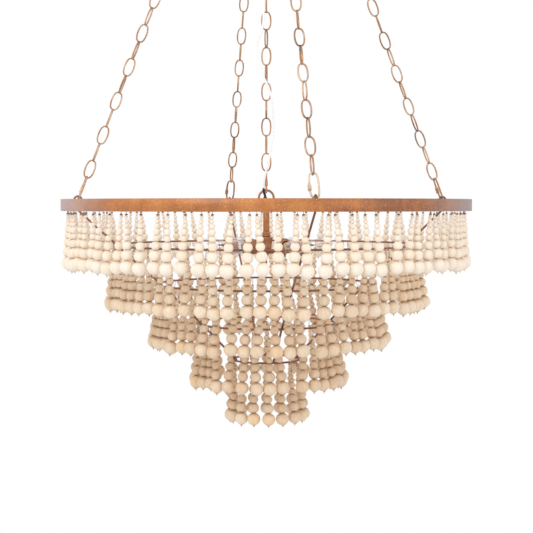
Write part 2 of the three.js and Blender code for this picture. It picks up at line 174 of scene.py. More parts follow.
class Shade:
    # one output socket that can be used in plain sums
    def __init__(self, tree, socket):
        self.tree, self.socket = tree, socket

    def sum(self, operation, first, second):
        return addNode(self.tree, "ShaderNodeMath", {0: first, 1: second}, operation=operation)

    def most(self, other):
        return self.sum("MAXIMUM", self, other)

    def __add__(self, other):
        return self.sum("ADD", self, other)

    def __radd__(self, other):
        return self.sum("ADD", other, self)

    def __sub__(self, other):
        return self.sum("SUBTRACT", self, other)

    def __rsub__(self, other):
        return self.sum("SUBTRACT", other, self)

    def __mul__(self, other):
        return self.sum("MULTIPLY", self, other)

    def __rmul__(self, other):
        return self.sum("MULTIPLY", other, self)


class Finish:
    # a material with its node tree and its main shader
    def __init__(self, name, uniform):
        self.material = bpy.data.materials.new(name)
        self.material.use_nodes = True
        self.tree = self.material.node_tree
        self.tree.nodes.clear()
        self.output = self.tree.nodes.new("ShaderNodeOutputMaterial")
        self.shader = self.node("ShaderNodeBsdfPrincipled", uniform)
        self.show(self.shader)

    def node(self, *kind, **settings):
        return addNode(self.tree, *kind, **settings)

    def show(self, surface):
        plug(self.tree, self.output.inputs["Surface"], surface)

    def mixColour(self, factor, first, second, mode="MIX"):
        inputs = {0: factor, 6: first, 7: second}
        return self.node("ShaderNodeMix", inputs, 2, data_type="RGBA", blend_type=mode)

    def noise(self, vector, look, along=1.0):
        # along is below 1 where the noise is drawn out on Z
        if along != 1:
            drawn = {0: vector, 1: (1.0, 1.0, along)}
            vector = self.node("ShaderNodeVectorMath", drawn, operation="MULTIPLY")
        return self.node("ShaderNodeTexNoise", {"Vector": vector, **look})

    def ramp(self, factor, *colours):
        # colours at even steps
        shade = self.node("ShaderNodeValToRGB", {"Fac": factor})
        elements = shade.socket.node.color_ramp.elements
        while len(elements) < len(colours):
            elements.new(0.5)
        for i, (element, colour) in enumerate(zip(elements, colours)):
            element.position = i / (len(colours) - 1)
            element.color = linear(*colour)
        return shade

    def remap(self, value, low, high, newLow=0.0, newHigh=1.0):
        inputs = {"Value": value, "From Min": low, "From Max": high, "To Min": newLow,
                  "To Max": newHigh}
        return self.node("ShaderNodeMapRange", inputs)

    def objectPlace(self):
        return self.node("ShaderNodeTexCoord", out=3)

    def turned(self):
        # grows where the surface turns away
        return self.node("ShaderNodeLayerWeight", {"Blend": 0.5}, out=1)

    def attribute(self, name, out):
        return self.node("ShaderNodeAttribute", out=out, attribute_name=name)

    def feed(self, label, value):
        plug(self.tree, self.shader.socket.node.inputs[label], value)

    def bump(self, height, strength, distance):
        inputs = {"Height": height, "Strength": strength, "Distance": distance}
        self.feed("Normal", self.node("ShaderNodeBump", inputs))

    def paintGrazingEdge(self, strength, colour, place, aged):
        # painted sheen and shade: a second, dull skin mixed in where the surface turns away; pale, it is a
        # painted sheen, dark, it is painted edge shade
        look = grazingPaintLook
        bloom = self.mixColour(self.noise(place, look["clouds"]), colour, dim(colour, look["clouded"]))
        tone = self.mixColour(aged, bloom, dim(colour, look["aged"]))
        skin = self.node("ShaderNodeBsdfPrincipled", {"Base Color": tone, "Roughness": look["roughness"]})
        share = self.remap(self.turned(), *look["range"]) * strength
        self.show(self.node("ShaderNodeMixShader", {0: share, 1: self.shader, 2: skin}))


# Finishes

grazingPaintLook = {
    "roughness": 0.6,
    "clouds": {"Scale": 40.0, "Detail": 3.0, "Roughness": 0.6},
    "clouded": 0.8,
    "aged": 0.5,
    "range": (0.36, 0.8),
}


def makeWood(name, look):
    wood = Finish(name, look["uniform"])
    place = wood.attribute("grainPlace", 1)
    tone, warmth, end = (wood.attribute(label, 2) for label in ("beadTone", "beadWarmth", "beadEndShade"))
    # growth rings, fibres and pores run along the bead's own grain
    rings, fibres, pores = (wood.noise(place, *look[label]) for label in ("rings", "fibres", "pores"))
    band = wood.remap(rings, *look["ringRange"])
    body = wood.mixColour(tone, look["pale"], look["deep"])
    warm = wood.mixColour(warmth, body, look["orange"])
    grained = wood.mixColour(band * look["ringStrength"], warm, look["grain"], "MULTIPLY")
    lined = wood.mixColour((1 - fibres) * look["fibreStrength"], grained, look["grain"], "MULTIPLY")
    holes = wood.remap(pores, *look["poreRange"]) * look["poreStrength"]
    pored = wood.mixColour(holes, lined, look["pore"])
    # painted shade: the ends round the hole are darker, standing in for the shade in the creases where beads
    # meet
    ends = wood.remap(end, *look["endShadeRange"]) * look["endShadeStrength"]
    wood.feed("Base Color", wood.mixColour(ends, pored, look["end"]))
    wood.feed("Roughness", look["roughness"] + look["ringDull"] * band - look["toneShine"] * tone)
    wood.bump(fibres * look["fibreRelief"] + rings * look["ringRelief"], *look["bump"])
    return wood.material


def makeMetal(name, look):
    metal = Finish(name, look["uniform"])
    place = metal.objectPlace()
    clouds, grit, specks = (metal.noise(place, look[label]) for label in ("clouds", "grit", "specks"))
    side = metal.node("ShaderNodeSeparateXYZ", {"Vector": place}, out=0)
    # painted shade, growing towards the right
    aged = metal.remap(side, *look["rightShadeRange"]) * look["agedSide"]
    patches = metal.remap(clouds, *look["patchRange"]) - aged
    body = metal.ramp(patches, look["dark"], look["body"], look["light"])
    rough = metal.remap(grit, *look["gritRange"]) * look["gritStrength"]
    spots = metal.remap(specks, *look["speckRange"]) * look["speckStrength"]
    gritty = metal.mixColour(rough, body, look["dark"])
    metal.feed("Base Color", metal.mixColour(spots, gritty, look["speck"]))
    smoothest, dullest = look["roughness"] - look["smoother"], look["roughness"] + look["duller"]
    metal.feed("Roughness", metal.remap(clouds, *look["dullRange"], smoothest, dullest))
    metal.bump(grit, *look["bump"])
    if look["bloom"]:
        metal.paintGrazingEdge(look["bloom"], look["bloomColour"], place, aged)
    return metal.material


def makeGlass(name, look):
    # thin glass: clear where it faces the eye; where it turns away, grey and more opaque as a painted
    # reflection, and glossy
    glass = Finish(name, look["uniform"])
    turned = glass.turned()
    smears = glass.noise(glass.objectPlace(), look["smears"])
    glass.feed("Base Color", glass.mixColour(turned, look["facing"], look["paintedReflection"]))
    glass.feed("Alpha", glass.remap(turned, *look["alphaRange"]) + look["smearAlpha"] * smears)
    glass.feed("Roughness", glass.remap(smears, *look["roughnessRange"]))
    return glass.material


def makePlain(name, colour, roughness, metallic=0.0, coat=0.0, shade=0.78):
    look = plainLook
    plain = Finish(name, {"Metallic": metallic, "Coat Weight": coat})
    clouds = plain.noise(plain.objectPlace(), look["clouds"])
    plain.feed("Base Color", plain.mixColour(clouds, colour, dim(colour, shade)))
    smoothest, dullest = roughness - look["smoother"], roughness + look["duller"]
    plain.feed("Roughness", plain.remap(clouds, *look["dullRange"], smoothest, dullest))
    plain.bump(clouds, *look["bump"])
    return plain.material


# the top tier's wood: a paler, lit copy of the beads' wood, as painted light
upperLitWoodLook = {
    "uniform": {"Specular IOR Level": 0.35},
    "roughness": 0.5,
    # each noise with how it is drawn out along the grain
    "rings": ({"Scale": 210.0, "Detail": 2.0, "Roughness": 0.5, "Distortion": 0.6}, 0.16),
    "fibres": ({"Scale": 1500.0, "Detail": 2.0, "Roughness": 0.6}, 0.05),
    "pores": ({"Scale": 900.0, "Detail": 1.0, "Roughness": 0.5}, 0.22),
    "ringRange": (0.36, 0.66),
    "poreRange": (0.62, 0.74),
    "endShadeRange": (0.62, 1.0),
    "ringStrength": 0.3,
    "fibreStrength": 0.22,
    "poreStrength": 0.25,
    "endShadeStrength": 0.5,
    "ringDull": 0.18,
    "toneShine": 0.1,
    "fibreRelief": 0.6,
    "ringRelief": 0.4,
    "bump": (0.22, 0.0006),
    "pale": (254, 247, 237),
    "deep": (250, 238, 222),
    "orange": (250, 230, 200),
    "grain": (240, 220, 198),
    "pore": (224, 196, 166),
    # painted shade for the creases round each bead's hole
    "end": (206, 170, 134),
}
# the lower tiers' wood: a darker copy, as painted shade from the tiers above
lowerShadedWoodLook = {
    **upperLitWoodLook,
    "pale": (254, 243, 224),
    "deep": (232, 208, 180),
    "orange": (246, 216, 176),
    "grain": (226, 197, 164),
    "pore": (200, 166, 128),
    # darker painted shade in the lower tiers' creases
    "end": (170, 132, 96),
    "endShadeStrength": 0.7,
}
copperLook = {
    "uniform": {"Metallic": 0.35, "Coat Weight": 0.5, "Coat Roughness": 0.25, "Sheen Weight": 1.0,
                "Sheen Roughness": 0.25, "Sheen Tint": (0.93, 0.86, 0.88, 1)},
    "roughness": 0.5,
    "smoother": 0.07,
    "duller": 0.09,
    "dullRange": (0.3, 0.7),
    "clouds": {"Scale": 14.0, "Detail": 6.0, "Roughness": 0.72},
    "grit": {"Scale": 420.0, "Detail": 2.0, "Roughness": 0.7},
    "specks": {"Scale": 560.0, "Detail": 1.0, "Roughness": 0.5},
    "patchRange": (0.32, 0.68),
    "gritRange": (0.45, 0.75),
    "speckRange": (0.66, 0.72),
    "gritStrength": 0.35,
    "speckStrength": 0.6,
    "bump": (0.18, 0.0004),
    # painted shade: the right side is darker, from the middle out to the end of the band, where less light
    # falls
    "rightShadeRange": (0.06, 0.42),
    "agedSide": 0.55,
    "dark": (144, 84, 46),
    "body": (188, 114, 52),
    "light": (208, 138, 74),
    "speck": (252, 222, 166),
    # painted sheen: a pale skin where the band turns away, standing in for its reflection of the white
    # studio
    "bloom": 0.85,
    "bloomColour": (186, 164, 160),
}


def tinted(look, dark, body, light, **changes):
    # the same metal with its own three tones
    return {**look, "dark": dark, "body": body, "light": light, **changes}


wireLook = tinted(copperLook, (92, 56, 38), (138, 88, 60), (172, 116, 82), speck=(214, 160, 118),
                  uniform={**copperLook["uniform"], "Metallic": 0.6, "Sheen Weight": 0.0},
                  roughness=0.38, bloom=0.0, agedSide=0.0, speckStrength=0.35)
metalLooks = {
    "antiqueCopper": copperLook,
    # painted shade on the edges of the lamp copper
    "lampCopper": tinted(copperLook, (146, 82, 40), (180, 108, 54), (202, 136, 82),
                         bloom=0.8, bloomColour=(100, 56, 34)),
    "bronzeWire": wireLook,
    # painted shade on the edges of the chain links
    "chainMetal": tinted(wireLook, (116, 72, 46), (188, 138, 98), (236, 204, 170),
                         bloom=0.75, bloomColour=(88, 48, 28)),
    "brownMetal": tinted(wireLook, (112, 66, 42), (164, 108, 72), (196, 138, 96)),
    "crimpWire": tinted(wireLook, (126, 92, 72), (158, 122, 98), (190, 156, 130), speck=(206, 176, 150)),
    "loopWire": tinted(wireLook, (150, 124, 104), (188, 162, 140), (212, 190, 168)),
    "paleBrass": tinted(wireLook, (194, 160, 126), (232, 206, 178), (248, 232, 212), speck=(150, 110, 78)),
}
glassLook = {
    "uniform": {"IOR": 1.45, "Coat Weight": 0.6, "Coat Roughness": 0.03},
    "facing": (244, 246, 248),
    "paintedReflection": (188, 195, 204),
    "smears": {"Scale": 60.0, "Detail": 2.0, "Roughness": 0.5},
    "smearAlpha": 0.06,
    # from and to, as the glass turns away into its painted reflection, and as the smears thicken
    "alphaRange": (0.35, 0.98, 0.02, 0.42),
    "roughnessRange": (0.4, 0.7, 0.04, 0.12),
}
plainLook = {
    "clouds": {"Scale": 180.0, "Detail": 3.0, "Roughness": 0.6},
    "smoother": 0.05,
    "duller": 0.08,
    "dullRange": (0.3, 0.7),
    "bump": (0.08, 0.0003),
}

paleLitWood = makeWood("paleLitBeadWood", upperLitWoodLook)
tanShadedWood = makeWood("tanShadedBeadWood", lowerShadedWoodLook)
copper, lampCopper, bronzeWire, chainMetal, brownMetal, crimpWire, loopWire, paleBrass = (
    makeMetal(name, look) for name, look in metalLooks.items())
lampGlass = makeGlass("lampGlass", glassLook)
filamentWire = makePlain("filamentWire", (120, 104, 84), 0.4, 0.8)
lampBase = makePlain("lampBaseBrass", (226, 178, 122), 0.4, 0.5)
cordJacket = makePlain("cordJacket", (248, 249, 249), 0.22, 0.0, 0.8, 0.95)
blackRubber = makePlain("blackRubber", (34, 32, 31), 0.6)
zincSteel = makePlain("zincSteel", (160, 162, 164), 0.4, 0.85)
print("finishes made")


# Mesh helpers

def latheShape(profile, sides):
    # (radius, height) pairs turned round Z, from the lower end round the outside to the upper end
    turns = [tau * i / sides for i in range(sides)]
    points, rows = [], []
    for radius, height in profile:
        if radius == 0:
            rows.append([len(points)] * sides)
            points.append((0, 0, height))
        else:
            rows.append([len(points) + i for i in range(sides)])
            points += [(radius * cos(turn), radius * sin(turn), height) for turn in turns]
    faces = []
    for low, high in zip(rows, rows[1:]):
        for i in range(sides):
            j = (i + 1) % sides
            face = [low[i], low[j], high[j], high[i]]
            faces.append(tuple(dict.fromkeys(face)))
    return np.array(points, float), faces


def inMetres(rows, base=0.0):
    # a profile written in millimetres, lifted to its level
    return [(radius * mm, base + height * mm) for radius, height in rows]


def wallProfile(bore, outside, low, high, foot, head):
    # a post, or a tube where there is a bore: each corner is set in from the outside, then up or down
    rows = [(outside - inset * mm, low + rise * mm) for inset, rise in foot]
    rows += [(outside - inset * mm, high - drop * mm) for inset, drop in head]
    return [(bore, low), *rows, (bore, high)] + ([(bore, low)] if bore else [])


def tubeShape(route, radius, sides, closed=False, across=None):
    # a round tube along a list of points; radius may be one number or one for each point
    count = len(route)
    radii = radius if isinstance(radius, (list, tuple)) else [radius] * count
    tangents = []
    for i in range(count):
        before = route[i - 1] if closed or i > 0 else route[0]
        after = route[(i + 1) % count] if closed or i < count - 1 else route[-1]
        tangents.append((after - before).normalized())
    side = across.copy() if across else tangents[0].orthogonal()
    points = []
    for place, tangent, size in zip(route, tangents, radii):
        side = (side - tangent * side.dot(tangent)).normalized()
        other = tangent.cross(side)
        for k in range(sides):
            angle = tau * k / sides
            points.append(place + side * (size * cos(angle)) + other * (size * sin(angle)))
    faces = []
    for i in range(count if closed else count - 1):
        j = (i + 1) % count
        for k in range(sides):
            n = (k + 1) % sides
            faces.append((i * sides + k, i * sides + n, j * sides + n, j * sides + k))
    if not closed:
        faces.append(tuple(reversed(range(sides))))
        faces.append(tuple((count - 1) * sides + k for k in range(sides)))
    return np.array([tuple(p) for p in points], float), faces


def ringRoute(radius, steps, height=0.0):
    return [polar(radius, tau * i / steps, height) for i in range(steps)]


def eyeShape(radius, centre, wire, steps, sides):
    # a wire ring in the XZ plane
    route = [centre + Vector((x, 0, z)) for x, z in arc(radius, 0, tau, steps)[:-1]]
    return tubeShape(route, wire, sides, closed=True, across=ahead)


grainShift = (7.1, 3.3, 11.7)  # cuts each bead from its own place in the wood


class Piece:
    # gathers shapes into one named mesh
    def __init__(self, name, *materials):
        self.name, self.materials = name, materials
        self.points, self.faces, self.slots, self.flat, self.grains = [], [], [], [], []
        self.values = {"beadTone": [], "beadWarmth": [], "beadEndShade": []}
        self.count = 0

    def add(self, shape, matrix=None, slot=0, flat=False, tone=0.5, warmth=0.0, waxed=1.0, grainTurn=None):
        points, faces = shape
        grain = points @ np.array(grainTurn.to_3x3()).T if grainTurn else points
        shift = np.array((tone, warmth, tone)) * grainShift if grainTurn else 0
        self.grains.append(grain + shift)
        # both ends of each shape take the painted shade of the creases between beads
        heights = abs(points[:, 2])
        ends = heights / (heights.max() or 1.0)  # 1 at both ends of a bead
        if matrix is not None:
            turn = np.array(matrix.to_3x3())
            points = points @ turn.T + np.array(matrix.translation)
        self.points.append(points)
        offset = self.count
        self.faces += [tuple(i + offset for i in face) for face in faces]
        self.slots += [slot] * len(faces)
        self.flat += [flat] * len(faces)
        for kept, value in zip(self.values.values(), (tone, warmth, ends * waxed)):
            kept.extend(np.broadcast_to(value, len(points)).tolist())
        self.count += len(points)

    def mesh(self):
        mesh = bpy.data.meshes.new(self.name)
        mesh.from_pydata(np.concatenate(self.points).tolist(), [], self.faces)
        for material in self.materials:
            mesh.materials.append(material)
        mesh.polygons.foreach_set("material_index", self.slots)
        mesh.polygons.foreach_set("use_smooth", [not flat for flat in self.flat])
        if len(set(self.values["beadTone"])) > 1:
            for label, values in self.values.items():
                mesh.attributes.new(label, "FLOAT", "POINT").data.foreach_set("value", values)
            grains = np.concatenate(self.grains).ravel()
            mesh.attributes.new("grainPlace", "FLOAT_VECTOR", "POINT").data.foreach_set("vector", grains)
        mesh.update()
        return addObject(self.name, mesh)

    def build(self, node, body="fixture", slot="copper"):
        piece = self.mesh()
        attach(piece, body)
        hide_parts(node)


def buildOne(name, material, shape, *where, place=None, flat=False, slot="copper"):
    # a piece of a single shape
    piece = Piece(name, material)
    piece.add(shape, place, flat=flat)
    piece.build(*where, slot=slot)


def aim(centre, along, across):
    # stands a shape that is long on Z and flat on Y at a place
    side = across.cross(along)
    return move(centre) @ Matrix((side, across, along)).transposed().to_4x4()


# Cord, laced beside the centre chain

cordPlan = {
    "radius": 2.4 * mm,
    # millimetres, from the ceiling down through the sleeve into the stem
    "route": [
        (0, 0, 0), (0, 0, -32), (-3, -4, -40), (-9, -10, -51), (-12, -13, -74.2), (-13, -16, -124.2),
        (-13, -13, -194.2), (-14, -11, -404.2), (-12, -13, -624.2), (-7, -14, -749.2), (-22, -6, -800.2),
        (-11, -13, -851.2), (1, -15, -879.2), (11, -13, -906.2), (16, -9, -970.2), (10, -12.5, -1022.2),
        (3, -14, -1056.2), (-3, -13, -1082.2), (-6, -9, -1106.9), (-5.4, -6.5, -1115.9), (-3.4, -2, -1120.9),
        (-2.5, 0, -1124.9), (-2.5, 0, -1127.9), (-2.5, 0, -1140.9), (-2.5, 0, -1153.2), (-1, 0, -1167.2),
        (0, 0, -1211.2),
    ],
    "step": 3.5 * mm,
    "sides": 12,
    # a span from above a joint's level to below it, worked out but not used
    "bendAbove": 18 * mm,
    "bendBelow": 22 * mm,
    # black shrink tube over the cord's foot
    "shrinkRadius": 2.7 * mm,
    "shrinkTop": -1106 * mm,
    "shrinkFoot": -1126 * mm,
}


def curveThrough(points, step):
    # a smooth line through the points, paced by the root of the distance between them
    line = []
    ends = [points[0] * 2 - points[1], *points, points[-1] * 2 - points[-2]]
    for p0, p1, p2, p3 in zip(ends, ends[1:], ends[2:], ends[3:]):
        a = (p1 - p0).length ** 0.5
        b = (p2 - p1).length ** 0.5
        c = (p3 - p2).length ** 0.5
        m1 = ((p1 - p0) / a - (p2 - p0) / (a + b) + (p2 - p1) / b) * b
        m2 = ((p2 - p1) / b - (p3 - p1) / (b + c) + (p3 - p2) / c) * b
        count = max(2, round((p2 - p1).length / step))
        for k in range(count):
            t = k / count
            line.append(p1 * (2 * t ** 3 - 3 * t ** 2 + 1) + m1 * (t ** 3 - 2 * t ** 2 + t)
                        + p2 * (-2 * t ** 3 + 3 * t ** 2) + m2 * (t ** 3 - t ** 2))
    return line + [points[-1]]


def buildCord():
    look = cordPlan
    line = curveThrough([Vector(place) * mm for place in look["route"]], look["step"])
    (_, _, swingLevel), (_, _, rockLevel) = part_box("top_ring")
    middle = (rockLevel + swingLevel) / 2
    upper = [point for point in line if point.z >= middle]
    lower = [point for point in line if point.z <= middle]
    lower.insert(0, upper[-1])
    for name, part, bodies, level in (
        ("cordTop", upper, ("ceiling_mount", "top_ring"), rockLevel),
        ("cordRun", lower, ("top_ring", "fixture"), swingLevel),
    ):
        cord = Piece(name, cordJacket, blackRubber)
        cord.add(tubeShape(part, look["radius"], look["sides"]))
        shrunk = [point for point in part if look["shrinkFoot"] < point.z < look["shrinkTop"]]
        if shrunk:
            cord.add(tubeShape(shrunk, look["shrinkRadius"], look["sides"]), slot=1)
        mesh = cord.mesh()
        start, end = level + look["bendAbove"], level - look["bendBelow"]
        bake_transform(mesh)
        if name == "cordRun":
            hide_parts("power_cord")
    print("cord laced")


buildCord()

# Strands

strandPlan = {
    "counts": [88, 70, 52, 34, 16],
    "rings": ["rail_ring", "ring_2", "ring_3", "ring_4", "ring_5"],
    "leans": [1 * mm, 6 * mm, 15 * mm, 13 * mm, 7 * mm],
    "length": 143.0 * mm,
    "tip": 3.0 * mm,
    # each bead's width and height in millimetres, from the wire loop down to the pointed bead
    "beads": [
        (7.5, 7.5), (9.0, 8.2), (11.2, 9.6), (14.0, 13.6), (14.6, 12.6), (19.0, 17.6), (23.2, 21.8),
        (28.4, 29.2),
    ],
    "sides": [7, 7, 8, 8, 9, 11, 13, 16],  # facets round each bead
    # the teardrop loop above the first bead, and how far its ends reach into the knot
    "loopWire": 0.4 * mm,
    "loopSlack": 0.9 * mm,
    "loopWaist": 0.6 * mm,
    "loopEnds": 4.6 * mm,
    # the wire wound round itself above the first bead, as radius and height in millimetres
    "knot": [(0, 0), (3.0, 0.1), (3.3, 0.8), (3.0, 1.9), (1.9, 2.9), (0.7, 3.5), (0, 4.6)],
    "sizeSpread": 0.035,
    "stretch": (-0.035, 0.022),
    # strands that swing on their own keep their distance
    "singleShare": 0.03,
    "singleSize": 0.15,
    "singleStretch": (-0.03, 0),
    "turnSpread": 0.34,
    "hookFollows": 0.6,
    "hookSpread": 0.62,
    "hookGap": 9 * mm,
    "leanSpread": 2.6 * mm,
    # how far a crowded strand may lean in and out
    "leanIn": 11 * mm,
    "leanOut": 9 * mm,
    "settleRounds": 80,
    "spacingRounds": 12,
    # millimetres of wobble and radians of tilt, by chance
    "wobble": 0.35,
    "tilt": 0.05,
    "grainTilt": 0.5,
    "grainRoll": 6.3,
    # shares of tone that a strand's beads have together and alone
    "strandTone": 0.4,
    "beadTone": 0.35,
    "warmShare": 0.05,
    "warm": (0.3, 0.7),
    "plain": (0, 0.16),
    # widths of the small and of the middling beads; the middling ones are the deepest in tone, as painted
    # shade
    "sizeBands": ((0, 14.2), (14.2, 24)),
    "middleShade": 0.3,
    "deepest": 1.3,
    "smallEndShade": 0.8,
    "tipTone": 1.2,
    # by tier: how much deeper the tone is, as painted shade from the tiers above, and how far the strands
    # drift to the right
    "paintedShadeTone": [0, 0, 0.2, 0.34, 0.24],
    "drifts": [0, 2 * mm, 7 * mm, 5 * mm, 2 * mm],
    "rimShare": 0.98,
    "seed": 5,
}


def beadProfile(width, height, fine):
    # a turned bead: fuller than a ball, with a flat round its hole
    if fine:
        shares = [(0, 1), (0.32, 0.99), (0.62, 0.84), (0.88, 0.5), (1, 0)]
    else:
        shares = [(0, 1), (0.4, 1), (0.82, 0.6), (1, 0)]
    upper = [(width / 2 * wide, height / 2 * high) for wide, high in shares]
    return [(radius, -level) for radius, level in upper[:-1]] + upper[::-1]


def pointedProfile(width, height):
    # round and flat-topped above, drawn in to a short point below
    upper = [(1, 0.14), (0.91, 0.52), (0.67, 0.84), (0.32, 1), (0, 1)]
    lower = [(0, -1), (0.1, -0.98), (0.26, -0.84), (0.56, -0.67), (0.82, -0.44), (0.96, -0.16)]
    return [(width / 2 * wide, height / 2 * high) for wide, high in lower + upper]


def makeBeadShapes(look):
    shapes = []
    for (width, height), sides in zip(look["beads"][:-1], look["sides"]):
        shapes.append(latheShape(beadProfile(width * mm, height * mm, sides > 8), sides))
    width, height = look["beads"][-1]
    return shapes + [latheShape(pointedProfile(width * mm, height * mm), look["sides"][-1])]


def loopShape(look, wireRadius, depth):
    # a teardrop of wire round the ring wire, closed above the knot
    crown, waist = wireRadius + look["loopSlack"], look["loopWaist"]
    turns = [radians(degrees) for degrees in (-110, -55, 0, 55, 110)]
    route = [Vector((crown * sin(turn), 0, crown * cos(turn))) for turn in turns]
    route += [Vector((side * waist, 0, look["loopEnds"] - depth)) for side in (1, -1)]
    return tubeShape(route, look["loopWire"], sides=4, closed=True, across=ahead)


def tipShape(length):
    # the crimped wire end below the pointed bead
    rows = [(0, -length), (0.8 * mm, -length + 0.5 * mm), (1.1 * mm, -length * 0.45), (1.3 * mm, 0), (0, 0)]
    return latheShape(rows, sides=6)


def settle(look, count, ringRadius, lean, outerLimit, looseness, chance):
    # strands crowd on their ring: each lowest bead pushes its neighbours until none overlap
    need = look["beads"][-1][0] * mm * look["rimShare"]
    pitch = tau / count
    hooks, places = [], []
    for i in range(count):
        angle = (i + 0.5) * pitch + frameTurn
        shove = chance.uniform(-1, 1) * look["turnSpread"] * pitch * looseness
        hookShove = chance.uniform(-1, 1) * look["hookSpread"] * pitch * looseness
        hooks.append(angle + shove * look["hookFollows"] + hookShove)
        leanShove = chance.gauss(0, 1) * look["leanSpread"] * looseness
        places.append(polar(ringRadius + lean + leanShove, angle + shove))
    for _ in range(look["settleRounds"]):
        for i in range(count):
            for step in (1, 2):
                j = (i + step) % count
                apart = places[j] - places[i]
                short = need - apart.length
                if short > 0:
                    push = apart.normalized() * short / 2
                    places[i], places[j] = places[i] - push, places[j] + push
        for i, place in enumerate(places):
            reach = min(max(place.length, ringRadius + lean - look["leanIn"]), outerLimit)
            places[i] = place.normalized() * reach
    return spaced(hooks, look["hookGap"] / ringRadius, look["spacingRounds"]), places


def spaced(hooks, least, rounds):
    # hooks slide along their ring until none sits on the next
    hooks = sorted(hooks)
    for _ in range(rounds):
        for i in range(len(hooks) - 1):
            short = least - (hooks[i + 1] - hooks[i])
            if short > 0:
                hooks[i] -= short / 2
                hooks[i + 1] += short / 2
    return hooks


def layStrand(piece, look, hook, foot, shapes, parts, chance):
    down = (foot - hook).normalized()
    across = Vector((-hook.y, hook.x, 0)).normalized()
    across = (across - down * across.dot(down)).normalized()
    upright = aim(hook, -down, across)
    piece.add(parts["loop"], upright, 2)
    piece.add(parts["knot"], upright, parts["knotSlot"])
    strandTone = chance.random()
    stretch = 1 + chance.uniform(*parts["stretch"])
    depth = parts["firstBead"]
    for shape, (width, height) in zip(shapes, look["beads"]):
        size = 1 + chance.uniform(-1, 1) * parts["sizeSpread"]
        wobble = Vector((chance.gauss(0, look["wobble"]), chance.gauss(0, look["wobble"]), 0)) * mm
        high = height * mm * stretch
        depth += high
        centre = hook + down * (depth - high / 2) + wobble
        tilt = spin(chance.gauss(0, look["tilt"]), "X") @ spin(chance.gauss(0, look["tilt"]), "Y")
        rolled = tilt @ spin(chance.uniform(0, tau))
        placed = aim(centre, -down, across) @ rolled @ Matrix.Diagonal((size, size, stretch, 1))
        grainTurn = spin(chance.gauss(0, look["grainTilt"]), "X")
        grainTurn = grainTurn @ spin(chance.uniform(0, look["grainRoll"]))
        warm = chance.random() < parts["warmShare"]
        warmth = chance.uniform(*look["warm" if warm else "plain"])
        small, middling = (low < width < high for low, high in look["sizeBands"])
        paintedShadeTone = parts["paintedShadeTone"] + (look["middleShade"] if middling else 0)
        tone = strandTone * look["strandTone"] + chance.random() * look["beadTone"] + paintedShadeTone
        tone = min(tone, look["deepest"])
        # small beads take less of the painted crease shade
        waxed = look["smallEndShade"] if small else 1.0
        piece.add(shape, placed, tone=tone, warmth=warmth, waxed=waxed, grainTurn=grainTurn)
    piece.add(parts["tip"], aim(hook + down * depth, -down, across), tone=look["tipTone"])


def buildStrands(look):
    chance = random.Random(look["seed"])
    shapes = makeBeadShapes(look)
    lastWidth, lastHeight = look["beads"][-1]
    beadsHigh = sum(height for _, height in look["beads"]) * mm
    firstBead = look["length"] - look["tip"] - beadsHigh
    beadDepth = look["length"] - look["tip"] - lastHeight * mm / 2
    hoopLimit = hoopRadius - lastWidth * mm * (1 + look["sizeSpread"]) / 2
    for tier, (count, ringNode) in enumerate(zip(look["counts"], look["rings"])):
        ringRadius, level, wireHalf = ringBox(ringNode)
        single = tier == len(look["counts"]) - 1
        parts = {
            "firstBead": firstBead,
            "loop": loopShape(look, wireHalf * sqrt(2), firstBead),
            "knot": latheShape(inMetres(look["knot"], -firstBead), sides=6),
            "tip": tipShape(look["tip"]),
            "warmShare": look["warmShare"] if tier else 0,
            "paintedShadeTone": look["paintedShadeTone"][tier],
            "knotSlot": 2 if tier else 1,
            "sizeSpread": look["sizeSpread"] * (look["singleSize"] if single else 1),
            "stretch": look["singleStretch" if single else "stretch"],
        }
        lean = look["leans"][tier]
        outerLimit = min(ringRadius + lean + look["leanOut"], hoopLimit)
        looseness = look["singleShare"] if single else 1
        hooks, places = settle(look, count, ringRadius, lean, outerLimit, looseness, chance)
        # the top tier is strung in the lit copy of the wood, the lower tiers in the shaded copy
        wood, woodName = (tanShadedWood, "tan_wood") if tier else (paleLitWood, "pale_wood")
        piece = None if single else Piece(f"strandsTier{tier + 1}", wood, crimpWire, loopWire)
        for i in range(count):
            hook = polar(ringRadius, hooks[i], level)
            foot = Vector((places[i].x + look["drifts"][tier], places[i].y, level - beadDepth))
            if single:
                piece = Piece(f"strand{i + 1}", wood, crimpWire, loopWire)
            layStrand(piece, look, hook, foot, shapes, parts, chance)
            if single:
                piece.build(f"strand_tier_5_{i + 1}", f"strand_{i + 1}", slot=woodName)
        if not single:
            piece.build(f"strands_tier_{tier + 1}", slot=woodName)
        print("tier", tier + 1, "strung with", count, "strands")


buildStrands(strandPlan)

# Chains

